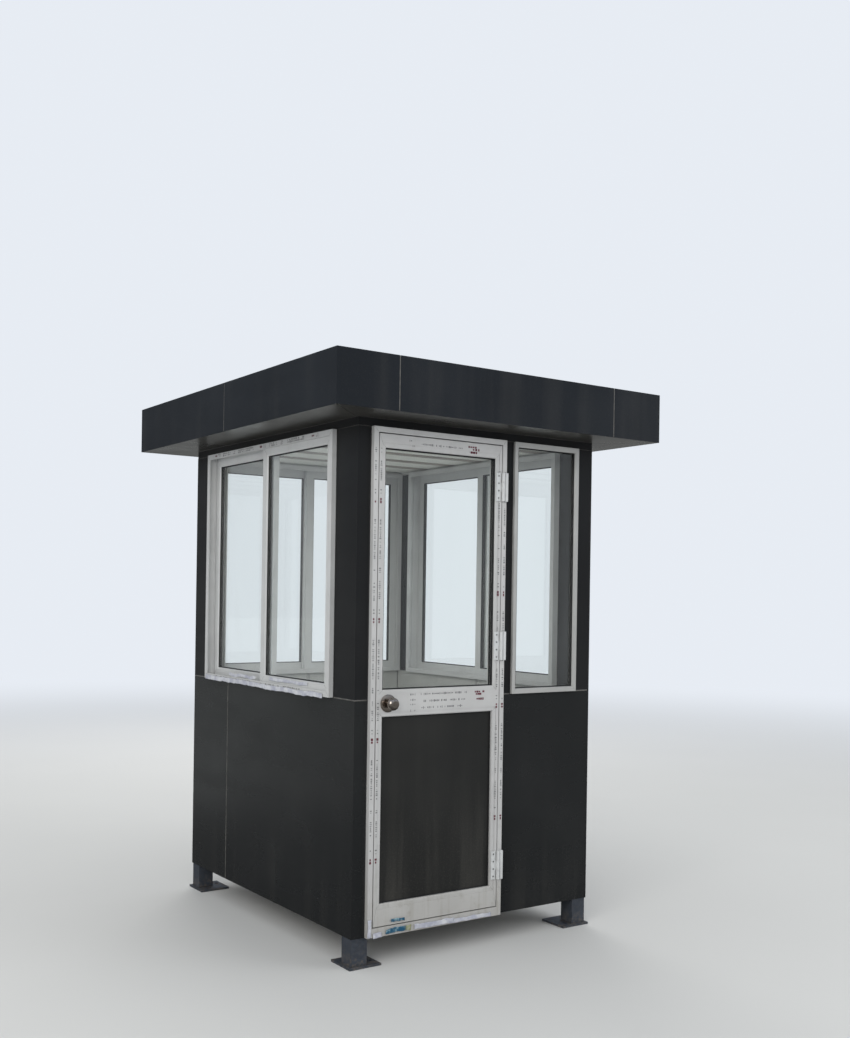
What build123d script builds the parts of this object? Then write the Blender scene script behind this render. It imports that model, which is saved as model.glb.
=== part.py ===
from build123d import *
import os

# Security guard booth: clad steel frame on four legs, flat roof box, sliding windows, half-glazed door.
# The front (the door side) faces -Y, +X is to the right of someone facing it, and z = 0 is the ground.

# Plan and heights of the booth
wall_width = 1350
wall_depth = 1680
leg_height = 130
wall_height = 2246
sill_height = 1025
header_height = 38

# Wall make-up, from outside to inside
skin = 4
core = 48
lining = 8
seam = 8

# Legs and their base plates
leg_size = 80
leg_wall = 4
plate_size = 160
plate_thickness = 10
plate_lip = 14
anchor_radius = 9
anchor_edge = 25

# Floor
beam_width = 50
beam_depth = 40
joist_count = 3
board = 12

# Roof box
overhang_side = 240
overhang_front = 221
fascia_height = 233
fascia_middle = 1220
fascia_flange = 40
fascia_seam = 6
soffit_joint = 3
roof_tube = 40
deck = 2
deck_drop = 42
ceiling_board = 8
ceiling_drop = 30

# Front wall, from left to right
corner_strip = 66
door_width = 730
door_post = 57
right_strip = 97
left_panel_seam = 1260

# Windows
joinery_proud = 24
side_window_width = 1320
frame_face = 26
frame_flange = 6
frame_web = 12
frame_rib = 4
frame_rib_height = 20
sash_count = 2
sash_track = 34
mesh_track = 22
sash_face = 46
sash_depth = 30
sash_bevel = 6
sash_overlap = 46
sash_top_clearance = 4
pane = 5
pane_grip = 12
pane_slack = 2
fixed_proud = 15
fixed_face = 24
fixed_depth = 32
fixed_setback = 20

# Door
door_frame_face = 24
door_stop = 18
threshold = 40
door_clearance = 5
leaf_depth = 50
stile_face = 34
top_rail = 60
mid_rail = 118
bottom_rail = 95
mid_rail_height = 951
bead = 20
bead_step = 3
bead_bevel = 4
door_panel_thickness = 8

# Hinges
hinge_height = 130
hinge_inset = 126
hinge_rise = 140
knuckle_radius = 8
axis_proud = 9
hinge_plate = 4
hinge_plate_width = 26
pin_radius = 4
pin_fit = 0.1
knuckle_gap = 1
knuckle_web = 2

# Knobs
knob_backset = 60
rosette_radius = 39
rosette_thickness = 8
rosette_crown = 1
neck_radius = 11
neck_length = 18
ball_radius = 28
ball_back = 16
ball_front = 18
ball_flat = 14
cylinder_radius = 8
cylinder_proud = 1
spindle_fit = 0.3

# Levels worked out from the sizes above
wall_bottom = leg_height
beam_top = wall_bottom + beam_depth
floor_top = beam_top + board
sill = wall_bottom + sill_height
soffit = wall_bottom + wall_height
head = soffit - header_height
rim = soffit + fascia_height
header_top = soffit + skin
opening_height = head - sill

# Plan positions worked out from the sizes above
half_width = wall_width / 2
half_depth = wall_depth / 2
inner_width = half_width - skin - core
inner_depth = half_depth - skin - core
roof_half_width = half_width + overhang_side
roof_half_depth = half_depth + overhang_front
door_left = -half_width + corner_strip
door_right = door_left + door_width
window_left = door_right + door_post
window_right = half_width - right_strip
front_window_width = window_right - window_left
back_window_width = wall_width - 2 * corner_strip
front_face = -half_depth - joinery_proud
seam_y = -half_depth + left_panel_seam

# Door leaf, in front-wall coordinates
leaf_left = door_left + door_frame_face + door_clearance
leaf_right = door_right - door_frame_face - door_clearance
leaf_bottom = wall_bottom + threshold + door_clearance
leaf_top = head - door_frame_face - door_clearance
mid_bottom = wall_bottom + mid_rail_height
mid_top = mid_bottom + mid_rail
hinge_x = leaf_right + door_clearance / 2
hinge_y = front_face - axis_proud
knob_x = leaf_left + knob_backset
knob_z = (mid_bottom + mid_top) / 2


def block(x, y, z):
    """Box from three (low, high) ranges."""
    size = [high - low for low, high in (x, y, z)]
    centre = [(high + low) / 2 for low, high in (x, y, z)]
    return Pos(*centre) * Box(*size)


def around(half):
    """Range that is symmetric about zero."""
    return (-half, half)


def frame_ring(section, width, height):
    """Mitred upright frame: section points are (inset from the outside, distance out of the wall)."""
    path = (Plane.XZ * Rectangle(width, height)).wire()
    start = Plane(origin=(0, 0, -height / 2), x_dir=(0, 0, 1), z_dir=(1, 0, 0))
    return sweep(start * Polygon(*section, align=None), path=path, transition=Transition.RIGHT)


def roof_region(side):
    """Part of the roof box on one side of the corner mitres."""
    ridge = roof_half_depth - roof_half_width
    front = [(-roof_half_width, -roof_half_depth), (roof_half_width, -roof_half_depth), (0, -ridge)]
    left = [(-roof_half_width, roof_half_depth), (-roof_half_width, -roof_half_depth), (0, -ridge), (0, ridge)]
    back = [(-x, -y) for x, y in front]
    right = [(-x, -y) for x, y in left]
    points = {"front": front, "left": left, "back": back, "right": right}[side]
    return Pos(0, 0, soffit) * extrude(Polygon(*points, align=None), fascia_height)


def leg(side_x, side_y):
    """Box-tube leg welded to a base plate with two anchor holes on its inner sides."""
    face_x = half_width - skin
    face_y = half_depth - skin
    tube_x = (face_x - leg_size, face_x)
    tube_y = (face_y - leg_size, face_y)
    hollow_x = (tube_x[0] + leg_wall, tube_x[1] - leg_wall)
    hollow_y = (tube_y[0] + leg_wall, tube_y[1] - leg_wall)
    tube = block(tube_x, tube_y, (plate_thickness, leg_height))
    tube -= block(hollow_x, hollow_y, (plate_thickness, leg_height))
    outer = (face_x + plate_lip, face_y + plate_lip)
    inner = (outer[0] - plate_size, outer[1] - plate_size)
    plate = block((inner[0], outer[0]), (inner[1], outer[1]), (0, plate_thickness))
    beside = (inner[0] + anchor_edge, face_y - leg_size / 2)
    behind = (face_x - leg_size / 2, inner[1] + anchor_edge)
    for x, y in (beside, behind):
        plate -= Pos(x, y, plate_thickness / 2) * Cylinder(anchor_radius, plate_thickness)
    shape = tube + plate
    if side_x < 0:
        shape = mirror(shape, Plane.YZ)
    if side_y < 0:
        shape = mirror(shape, Plane.XZ)
    return shape


def floor_frame():
    """Side beams over the legs, end beams between them, and joists; the front beam is behind the door."""
    outer = half_width - skin
    inner = outer - beam_width
    level = (wall_bottom, beam_top)
    side = block((inner, outer), around(half_depth - skin), level)
    shape = side + mirror(side, Plane.YZ)
    front = -inner_depth
    back = half_depth - skin
    shape += block(around(inner), (front, front + beam_width), level)
    shape += block(around(inner), (back - beam_width, back), level)
    pitch = (back - beam_width / 2 - front - beam_width / 2) / (joist_count + 1)
    for number in range(joist_count):
        middle = front + beam_width / 2 + pitch * (number + 1)
        shape += block(around(inner), (middle - beam_width / 2, middle + beam_width / 2), level)
    return shape


def floor_board():
    return block(around(inner_width), around(inner_depth), (beam_top, floor_top))


def clipped(span, half):
    """Part of a range that lies between -half and half."""
    return (max(span[0], -half), min(span[1], half))


def lower_level():
    return (wall_bottom, sill)


def upper_level():
    return (sill, head)


def side_slab(y, z):
    """Left wall: its skin runs to the corners, its core stands on the floor beam."""
    core_level = (max(z[0], beam_top), z[1])
    shape = block((-half_width, -half_width + skin), y, z)
    return shape + block((-half_width, -inner_width), clipped(y, half_depth - skin), core_level)


def end_slab(x, z):
    """Front wall: its skin ends behind the side skins, its core between the side cores."""
    core_level = (max(z[0], beam_top), z[1])
    shape = block(clipped(x, half_width - skin), (-half_depth, -half_depth + skin), z)
    return shape + block(clipped(x, inner_width), (-half_depth, -inner_depth), core_level)


def left_wall_panels():
    """Folded sheet round the front corner up to the door, a sealed joint, then the rest of the wall."""
    folded = side_slab((-half_depth, seam_y - seam / 2), lower_level())
    folded += block((-half_width, door_left), (-half_depth, -half_depth + skin), lower_level())
    folded += block((-half_width, door_left), (-half_depth, -inner_depth), (beam_top, sill))
    return folded, side_slab((seam_y + seam / 2, half_depth), lower_level())


def right_wall_panels():
    parts = ((-half_depth, seam_y - seam / 2), (seam_y + seam / 2, half_depth))
    return [mirror(side_slab(part, lower_level()), Plane.YZ) for part in parts]


def front_wall_panel():
    return end_slab((door_right, half_width), lower_level())


def back_wall_panel():
    return mirror(end_slab(around(half_width), lower_level()), Plane.XZ)


def wall_linings():
    """Inside boards below the sills; they stand on the floor and stop short of one another."""
    level = (floor_top, sill)
    inside_x = inner_width - lining
    inside_y = inner_depth - lining
    side = block((inside_x, inner_width), around(inner_depth), level)
    back = block(around(inside_x - seam), (inside_y, inner_depth), level)
    front = block((door_right, inside_x - seam), (-inner_depth, -inside_y), level)
    return [side, mirror(side, Plane.YZ), back, front]


def column(front_edge, side_edge, side_x, side_y):
    """Corner column between sill and header: L-shaped in plan, up to the joinery on both faces."""
    level = upper_level()
    side = block((inner_width, half_width), (side_edge, half_depth), level)
    end = block((front_edge, half_width), (inner_depth, half_depth), level)
    shape = side + end
    if side_x < 0:
        shape = mirror(shape, Plane.YZ)
    if side_y < 0:
        shape = mirror(shape, Plane.XZ)
    return shape


def header():
    """Ring beam over doors and windows; the soffit butts against it."""
    level = (head, header_top)
    return block(around(half_width), around(half_depth), level) - block(
        around(inner_width), around(inner_depth), level
    )


def ceiling():
    bottom = header_top - ceiling_drop
    return block(around(inner_width), around(inner_depth), (bottom, bottom + ceiling_board))


def soffit_panels():
    """Four flat panels round the walls with open mitred joints at the corners."""
    level = (soffit, header_top)
    reach_x = roof_half_width - skin
    reach_y = roof_half_depth - skin
    sheet = block(around(reach_x), around(reach_y), level)
    sheet -= block(around(half_width), around(half_depth), level)
    middle = (soffit + header_top) / 2
    length = 2 * (overhang_side + overhang_front)
    for x in (-1, 1):
        for y in (-1, 1):
            turn = Pos(x * roof_half_width, y * roof_half_depth, middle) * Rot(0, 0, 45 * x * y)
            sheet -= turn * Box(length, soffit_joint, skin)
    return sheet.solids()


def roof_frame():
    """Hidden tube frame: a ring on the header and over the soffit, a ring under the deck, and uprights."""
    reach_x = roof_half_width - skin
    reach_y = roof_half_depth - skin
    low = (header_top, header_top + roof_tube)
    high = (rim - deck_drop - deck - roof_tube, rim - deck_drop - deck)
    shape = None
    for level in (low, high):
        ring = block(around(reach_x), around(reach_y), level)
        ring -= block(around(reach_x - roof_tube), around(reach_y - roof_tube), level)
        shape = ring if shape is None else shape + ring
        for y in (-inner_depth, 0, inner_depth):
            bearer = (y - roof_tube / 2, y + roof_tube / 2)
            shape += block(around(reach_x), bearer, level)
    for x in (-reach_x + roof_tube, 0, reach_x):
        for y in (-reach_y + roof_tube, reach_y):
            shape += block((x - roof_tube, x), (y - roof_tube, y), (low[0], high[1]))
    return shape


def fascia_ring():
    """Folded fascia sheet with an inward flange on top, mitred round the roof box, cut at its joints."""
    section = [
        (0, 0),
        (0, fascia_height),
        (fascia_flange, fascia_height),
        (fascia_flange, fascia_height - skin),
        (skin, fascia_height - skin),
        (skin, 0),
    ]
    path = (Pos(0, 0, soffit) * Rectangle(2 * roof_half_width, 2 * roof_half_depth)).wire()
    start = Plane(origin=(-roof_half_width, 0, soffit), x_dir=(1, 0, 0), z_dir=(0, -1, 0))
    ring = sweep(start * Polygon(*section, align=None), path=path, transition=Transition.RIGHT)
    level = (soffit, rim)
    half = fascia_seam / 2
    for x in (-fascia_middle / 2, fascia_middle / 2):
        ring -= block((x - half, x + half), around(roof_half_depth), level)
    return ring - block(around(roof_half_width), around(half), level)


def fascia(ring, side):
    return (ring & roof_region(side)).solids()


def roof_deck():
    level = (rim - deck_drop - deck, rim - deck_drop)
    return block(around(roof_half_width - skin), around(roof_half_depth - skin), level)


def sash_ring(width, height):
    """Sash profile with a bevelled bead and a groove that grips the pane."""
    half = sash_depth / 2
    grip = sash_face - pane_grip
    section = [
        (0, half),
        (sash_face - sash_bevel, half),
        (sash_face, half - sash_bevel),
        (sash_face, pane / 2),
        (grip, pane / 2),
        (grip, -pane / 2),
        (sash_face, -pane / 2),
        (sash_face, -half),
        (0, -half),
    ]
    return frame_ring(section, width, height)


def track_section():
    """Three-track sliding frame: one track for each sash, then the mesh track on the inside."""
    out = joinery_proud
    points = [(0, out), (frame_face, out), (frame_face, out - frame_flange)]
    depth = out - frame_flange
    for sash in range(sash_count):
        points += [(frame_web, depth), (frame_web, depth - sash_track)]
        depth -= sash_track
        points += [(frame_rib_height, depth), (frame_rib_height, depth - frame_rib)]
        depth -= frame_rib
    points += [(frame_web, depth), (frame_web, depth - mesh_track), (frame_face, depth - mesh_track)]
    inside = depth - mesh_track - frame_flange
    return points + [(frame_face, inside), (0, inside)]


def sliding_window(width):
    """Frame, outer sash on the right, inner sash on the left and their panes, facing -Y, from z = 0."""
    height = opening_height
    frame = Pos(0, 0, height / 2) * frame_ring(track_section(), width, height)
    clear = width - 2 * frame_web - 2 * pane_slack
    sash_width = (clear + sash_overlap) / sash_count
    sash_height = height - 2 * frame_web - sash_top_clearance
    shift = (clear - sash_width) / 2
    middle = frame_web + sash_height / 2
    outer_y = sash_track / 2 + frame_flange - joinery_proud
    inner_y = outer_y + sash_track + frame_rib
    glass_inset = 2 * (sash_face - pane_grip + pane_slack)
    sashes = []
    panes = []
    for x, y in ((shift, outer_y), (-shift, inner_y)):
        sashes.append(Pos(x, y, middle) * sash_ring(sash_width, sash_height))
        panes.append(Pos(x, y, middle) * Box(sash_width - glass_inset, pane, sash_height - glass_inset))
    return {"frame": frame, "sashes": sashes, "panes": panes}


def fixed_window():
    """Front window: one pane gripped by a slim bevelled frame, close behind its face."""
    out = fixed_proud
    glass = out - fixed_setback
    grip = fixed_face - pane_grip
    section = [
        (0, out),
        (fixed_face - sash_bevel, out),
        (fixed_face, out - sash_bevel),
        (fixed_face, glass + pane / 2),
        (grip, glass + pane / 2),
        (grip, glass - pane / 2),
        (fixed_face, glass - pane / 2),
        (fixed_face, out - fixed_depth),
        (0, out - fixed_depth),
    ]
    place = Pos((window_left + window_right) / 2, -half_depth, (sill + head) / 2)
    frame = place * frame_ring(section, front_window_width, opening_height)
    inset = 2 * (grip + pane_slack)
    sheet = Box(front_window_width - inset, pane, opening_height - inset)
    return frame, place * Pos(0, -glass, 0) * sheet


def door_frame():
    """Mitred rebated frame; a deeper threshold closes the bottom."""
    out = joinery_proud
    stop_front = out - leaf_depth - door_clearance
    back = -skin - core
    stop_edge = door_frame_face + door_stop
    section = [
        (0, out),
        (door_frame_face, out),
        (door_frame_face, stop_front),
        (stop_edge, stop_front),
        (stop_edge, back),
        (0, back),
    ]
    height = head - wall_bottom
    place = Pos((door_left + door_right) / 2, -half_depth, (wall_bottom + head) / 2)
    frame = place * frame_ring(section, door_width, height)
    inside = (door_left + door_frame_face, door_right - door_frame_face)
    sill_top = wall_bottom + threshold
    face = (front_face, -half_depth - stop_front)
    frame += block(inside, face, (wall_bottom + door_frame_face, sill_top))
    stop = (-half_depth - stop_front, -half_depth - back)
    return frame + block(inside, stop, (wall_bottom + door_frame_face, sill_top + door_stop))


def leaf_openings():
    """Glazed and panelled openings of the leaf as (x range, z range)."""
    across = (leaf_left + stile_face, leaf_right - stile_face)
    glazed = (mid_top, leaf_top - top_rail)
    panelled = (leaf_bottom + bottom_rail, mid_bottom)
    return (across, glazed), (across, panelled)


def grown(span, by):
    return (span[0] - by, span[1] + by)


def door_leaf():
    """Welded leaf: beads stepped back from the face, bevelled openings, and grooves for pane and panel."""
    depth = (front_face, front_face + leaf_depth)
    middle = front_face + leaf_depth / 2
    leaf = block((leaf_left, leaf_right), depth, (leaf_bottom, leaf_top))
    for (x, z), thickness in zip(leaf_openings(), (pane, door_panel_thickness)):
        leaf -= block(grown(x, bead), (front_face, front_face + bead_step), grown(z, bead))
        hole = block(x, depth, z)
        leaf -= hole
        face = front_face + bead_step
        mouth = Plane(origin=((x[0] + x[1]) / 2, face, (z[0] + z[1]) / 2), z_dir=(0, 1, 0), x_dir=(1, 0, 0))
        wide = mouth * Rectangle(x[1] - x[0] + 2 * bead_bevel, z[1] - z[0] + 2 * bead_bevel)
        narrow = mouth.offset(bead_bevel) * Rectangle(x[1] - x[0], z[1] - z[0])
        leaf -= loft([wide.face(), narrow.face()])
        groove = (middle - thickness / 2, middle + thickness / 2)
        leaf -= block(grown(x, pane_grip), groove, grown(z, pane_grip))
    bore = neck_radius + spindle_fit
    return leaf - Pos(knob_x, middle, knob_z) * Rot(90, 0, 0) * Cylinder(bore, leaf_depth)


def leaf_sheet(opening, thickness):
    """Pane or panel that fills one opening of the leaf."""
    x, z = opening
    middle = front_face + leaf_depth / 2
    grip = pane_grip - pane_slack
    return block(grown(x, grip), (middle - thickness / 2, middle + thickness / 2), grown(z, grip))


def hinge_levels():
    """Centres of the three hinges; the middle one sits above the leaf's middle to share the load."""
    lowest = leaf_bottom + hinge_inset + hinge_height / 2
    highest = leaf_top - hinge_inset - hinge_height / 2
    return lowest, (lowest + highest) / 2 + hinge_rise, highest


def knuckle(z, direction):
    """Knuckle with the web that carries it on its plate, to the right (1) or left (-1) of the pin."""
    barrel = Pos(hinge_x, hinge_y, (z[0] + z[1]) / 2) * Cylinder(knuckle_radius, z[1] - z[0])
    web_x = sorted((hinge_x, hinge_x + direction * (knuckle_radius + knuckle_web)))
    return barrel + block(web_x, (front_face - hinge_plate, front_face), z)


def hinge_halves(level):
    """Frame half with two knuckles and the pin, and leaf half with the bored middle knuckle."""
    bottom = level - hinge_height / 2
    top = level + hinge_height / 2
    third = hinge_height / 3
    start = knuckle_radius + knuckle_web
    plate_y = (front_face - hinge_plate, front_face)
    frame_plate = block((hinge_x + start, door_right), plate_y, (bottom, top))
    leaf_plate = block((hinge_x - start - hinge_plate_width, hinge_x - start), plate_y, (bottom, top))
    low = (bottom, bottom + third - knuckle_gap / 2)
    middle = (bottom + third + knuckle_gap / 2, top - third - knuckle_gap / 2)
    high = (top - third + knuckle_gap / 2, top)
    pin = Pos(hinge_x, hinge_y, level) * Cylinder(pin_radius, hinge_height)
    bore = Pos(hinge_x, hinge_y, level) * Cylinder(pin_radius + pin_fit, hinge_height)
    frame_half = frame_plate + knuckle(low, 1) + knuckle(high, 1) + pin
    leaf_half = leaf_plate + knuckle(middle, -1) - bore
    return frame_half, leaf_half


def turned(profile):
    """Solid of revolution about the knob axis from (radius, distance out of the leaf face) points."""
    plane = Plane(origin=(knob_x, front_face, knob_z), x_dir=(1, 0, 0), z_dir=(0, 0, 1))
    sketch = plane * make_face(profile)
    return revolve(sketch, Axis((knob_x, front_face, knob_z), (0, 1, 0)))


def rosette():
    """Domed rosette on the outer face, bored for the neck of the knob."""
    bore = neck_radius + spindle_fit
    shoulder = rosette_thickness / 2
    line = Polyline((bore, 0), (rosette_radius, 0), (rosette_radius, -shoulder))
    dome = ThreePointArc(
        (rosette_radius, -shoulder),
        ((rosette_radius + bore) / 2, rosette_crown - rosette_thickness),
        (bore, -rosette_thickness),
    )
    close = Line((bore, -rosette_thickness), (bore, 0))
    return turned(line + dome + close)


def mirror_in_leaf(shape):
    return mirror(shape, Plane.XZ.offset(-(front_face + leaf_depth / 2)))


def knobs():
    """Outside and inside knobs on one spindle: neck, flattened ball and the end of its cylinder."""
    back = -rosette_thickness - neck_length
    widest = back - ball_back
    front = widest - ball_front
    spindle = Polyline((0, leaf_depth / 2), (neck_radius, leaf_depth / 2), (neck_radius, back))
    ball = ThreePointArc((neck_radius, back), (ball_radius, widest), (ball_flat, front))
    face = Polyline(
        (ball_flat, front),
        (cylinder_radius, front),
        (cylinder_radius, front - cylinder_proud),
        (0, front - cylinder_proud),
    )
    axis = Line((0, front - cylinder_proud), (0, leaf_depth / 2))
    outside = turned(spindle + ball + face + axis)
    return outside + mirror_in_leaf(outside)


def save(name, shapes):
    """Write one sub-part, from one solid or several that share its name."""
    solids = [solid for shape in shapes for solid in shape.solids()]
    export_step(Compound(children=solids) if len(solids) > 1 else solids[0], f"parts/{name}.step")


def main():
    os.makedirs("parts", exist_ok=True)
    for side_x, across in ((-1, "left"), (1, "right")):
        for side_y, along in ((-1, "front"), (1, "back")):
            save(f"leg_{along}_{across}", [leg(side_x, side_y)])

    save("floor_frame", [floor_frame()])
    save("floor_board", [floor_board()])
    save("left_wall_panels", left_wall_panels())
    save("right_wall_panels", right_wall_panels())
    save("front_wall_panel", [front_wall_panel()])
    save("back_wall_panel", [back_wall_panel()])
    save("wall_linings", wall_linings())

    side_edge = side_window_width / 2
    back_edge = back_window_width / 2
    save("column_front_left", [column(-door_left, side_edge, -1, -1)])
    save("column_front_right", [column(window_right, side_edge, 1, -1)])
    save("column_back_left", [column(back_edge, side_edge, -1, 1)])
    save("column_back_right", [column(back_edge, side_edge, 1, 1)])
    save("door_post", [end_slab((door_right, window_left), upper_level())])
    save("header", [header()])
    save("ceiling", [ceiling()])
    save("soffit_panels", soffit_panels())
    save("roof_frame", [roof_frame()])
    ring = fascia_ring()
    for side in ("front", "back", "left", "right"):
        save(f"fascia_{side}", fascia(ring, side))
    save("roof_deck", [roof_deck()])

    walls = {
        "left": (Pos(-half_width, 0, sill) * Rot(0, 0, -90), side_window_width),
        "right": (Pos(half_width, 0, sill) * Rot(0, 0, 90), side_window_width),
        "back": (Pos(0, half_depth, sill) * Rot(0, 0, 180), back_window_width),
    }
    for wall, (place, width) in walls.items():
        window = sliding_window(width)
        save(f"{wall}_window_frame", [place * window["frame"]])
        save(f"{wall}_window_sashes", [place * sash for sash in window["sashes"]])
        save(f"{wall}_window_panes", [place * sheet for sheet in window["panes"]])

    frame, sheet = fixed_window()
    save("front_window_frame", [frame])
    save("front_window_pane", [sheet])

    glazed, panelled = leaf_openings()
    save("door_frame", [door_frame()])
    save("door_leaf", [door_leaf()])
    save("door_pane", [leaf_sheet(glazed, pane)])
    save("door_panel", [leaf_sheet(panelled, door_panel_thickness)])
    halves = [hinge_halves(level) for level in hinge_levels()]
    save("hinge_frame_halves", [frame_half for frame_half, leaf_half in halves])
    save("hinge_leaf_halves", [leaf_half for frame_half, leaf_half in halves])
    outside = rosette()
    save("knob_rosettes", [outside, mirror_in_leaf(outside)])
    save("door_knobs", [knobs()])


main()
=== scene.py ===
import math
import bmesh
import bpy
from mathutils import Matrix, Vector


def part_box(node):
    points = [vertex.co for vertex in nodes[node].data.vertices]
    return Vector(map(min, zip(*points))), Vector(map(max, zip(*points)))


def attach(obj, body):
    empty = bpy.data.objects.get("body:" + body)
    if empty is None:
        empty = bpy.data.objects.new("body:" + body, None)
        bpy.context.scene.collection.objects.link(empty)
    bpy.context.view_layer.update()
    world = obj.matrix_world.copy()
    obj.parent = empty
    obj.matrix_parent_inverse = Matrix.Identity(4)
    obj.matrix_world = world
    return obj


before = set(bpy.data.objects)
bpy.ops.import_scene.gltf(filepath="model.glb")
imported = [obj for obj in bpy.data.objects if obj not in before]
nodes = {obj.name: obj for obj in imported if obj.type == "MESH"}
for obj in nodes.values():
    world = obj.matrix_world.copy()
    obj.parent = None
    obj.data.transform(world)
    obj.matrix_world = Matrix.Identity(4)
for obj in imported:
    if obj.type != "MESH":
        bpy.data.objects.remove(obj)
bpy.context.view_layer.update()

scene = bpy.context.scene
print("frame loaded:", len(nodes), "nodes")


# one wrapper for shader trees and Geometry Nodes trees

def operator(operation, swapped=False):
    def apply(self, other):
        first, second = (other, self) if swapped else (self, other)
        return self.board.maths(operation, first, second)
    return apply


class Value:
    __add__ = __radd__ = operator("ADD")
    __mul__ = __rmul__ = operator("MULTIPLY")
    __sub__ = operator("SUBTRACT")
    __rsub__ = operator("SUBTRACT", swapped=True)
    __rtruediv__ = operator("DIVIDE", swapped=True)

    def __init__(self, board, socket):
        self.board = board
        self.socket = socket

    def smooth(self, low, high, start=0.0, end=1.0):  # eased step between two values
        return self.board.add("ShaderNodeMapRange", {0: self, 1: low, 2: high, 3: start, 4: end},
                              interpolation_type="SMOOTHSTEP")


class Board:
    def __init__(self, tree):
        self.tree = tree
        tree.nodes.clear()

    def find(self, sockets, key):
        found = [socket for socket in sockets if socket.identifier == key]
        return found[0] if found else sockets[key]

    def add(self, kind, sockets=None, out=0, **settings):
        node = self.tree.nodes.new(kind)
        for key, value in settings.items():
            setattr(node, key, value)
        for key, value in (sockets or {}).items():
            socket = self.find(node.inputs, key)
            if isinstance(value, Value):
                self.tree.links.new(value.socket, socket)
            elif isinstance(value, (tuple, list)) and socket.type == "RGBA":
                socket.default_value = (*value[:3], 1.0)
            else:
                socket.default_value = value
        return Value(self, self.find(node.outputs, out)) if node.outputs else node

    def other(self, value, out):  # another output of the same node
        return Value(self, self.find(value.socket.node.outputs, out))

    def maths(self, operation, a, b):
        return self.add("ShaderNodeMath", {0: a, 1: b}, operation=operation)

    def vector(self, operation, a, b, out=0):
        return self.add("ShaderNodeVectorMath", {0: a, 1: b}, out, operation=operation)

    def scaled(self, vector, factor):
        return self.add("ShaderNodeVectorMath", {"Vector": vector, "Scale": factor}, operation="SCALE")

    def mix(self, factor, a, b):
        return self.add("ShaderNodeMix", {"Factor_Float": factor, "A_Color": a, "B_Color": b},
                        "Result_Color", data_type="RGBA")

    def place(self):
        return self.add("ShaderNodeTexCoord", out="Object")

    def split(self, vector):
        x = self.add("ShaderNodeSeparateXYZ", {0: vector})
        return x, self.other(x, 1), self.other(x, 2)

    def noise(self, scale, detail, rough, stretch=(1, 1, 1), shift=(0, 0, 0)):
        spot = self.add("ShaderNodeMapping", {"Vector": self.place(), "Location": shift, "Scale": stretch})
        return self.add("ShaderNodeTexNoise",
                        {"Vector": spot, "Scale": scale, "Detail": detail, "Roughness": rough})

    def bump(self, height, distance, strength, **under):
        return self.add("ShaderNodeBump",
                        {"Height": height, "Distance": distance, "Strength": strength, **under})

    def surface(self, sockets):
        return self.add("ShaderNodeBsdfPrincipled", sockets)

    def light(self, colour):
        return self.add("ShaderNodeEmission", {"Color": colour, "Strength": 1.0})

    def blend(self, factor, a, b):
        return self.add("ShaderNodeMixShader", {0: factor, 1: a, 2: b})


def newMaterial(name, recipe, *look):
    material = bpy.data.materials.new(name)
    material.use_nodes = True
    board = Board(material.node_tree)
    board.add("ShaderNodeOutputMaterial", {"Surface": recipe(board, *look)})
    return material


# finishes: each recipe returns a shader

dustTone = (0.30, 0.275, 0.235)
splashTone = (0.22, 0.195, 0.145)
mudTone = (0.17, 0.14, 0.11)


def cladding(board, colour, dust, dustTop, gloss, shine, shift):
    move = (shift, shift * 0.7, shift * 1.3)
    height = board.split(board.place())[2]
    cloud = board.noise(1.7, 3, 0.5, shift=move)
    runs = board.noise(9.0, 4, 0.6, stretch=(1, 1, 0.06), shift=move)  # rain marks run down
    specks = board.noise(160.0, 2, 0.6, shift=move)
    wipe = board.noise(5.0, 2, 0.5, stretch=(0.5, 0.5, 1.6), shift=move)
    low = height.smooth(0.12, dustTop, 1.0, 0.12)
    film = runs.smooth(0.45, 0.75) * 0.6 + specks.smooth(0.52, 0.7) * 0.4
    dirt = film * low * dust + cloud.smooth(0.5, 0.75) * 0.012
    tone = board.mix(cloud.smooth(0.3, 0.7), colour, tuple(c * 1.22 for c in colour))
    painted = board.mix(dirt, tone, dustTone)
    rough = gloss + dirt * 1.6 + wipe.smooth(0.3, 0.75) * 0.10 + specks * 0.03
    sheet = board.noise(1.15, 1, 0.4, stretch=(1, 1, 0.55), shift=move)  # the sheet's slow waves
    peel = board.noise(420.0, 1, 0.5)
    normal = board.bump(peel, 0.00012, 0.35, Normal=board.bump(sheet, 0.010, 0.55))
    return board.surface({"Base Color": painted, "Roughness": rough, "Normal": normal,
                          "Specular IOR Level": shine})


def whitePvc(board, colour, streak, film, shift):
    move = (shift, shift, shift)
    height = board.split(board.place())[2]
    cloud = board.noise(6.0, 3, 0.5, shift=move)
    runs = board.noise(46.0, 3, 0.55, stretch=(1, 1, 0.05), shift=move)  # lines drawn along the profile
    smear = board.noise(24.0, 4, 0.62, shift=move)
    low = height.smooth(0.15, 0.9, 1.0, 0.25)
    grime = height.smooth(0.14, 0.50, 0.26, 0.0)  # splashed dust near the ground
    dirt = (smear.smooth(0.52, 0.8) * 0.5 + runs.smooth(0.5, 0.78) * 0.5) * low * streak + grime
    tone = board.mix(cloud.smooth(0.35, 0.65), colour, tuple(c * 0.93 for c in colour))
    painted = board.mix(dirt, tone, splashTone)
    rough = 0.30 + cloud * 0.10 + dirt * 0.4
    wrinkles = board.noise(30.0, 3, 0.6, stretch=(1, 1, 0.35), shift=move)
    normal = board.bump(wrinkles, 0.0006 * film, 0.5)
    return board.surface({"Base Color": painted, "Roughness": rough, "Normal": normal,
                          "Specular IOR Level": 0.45})


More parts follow.
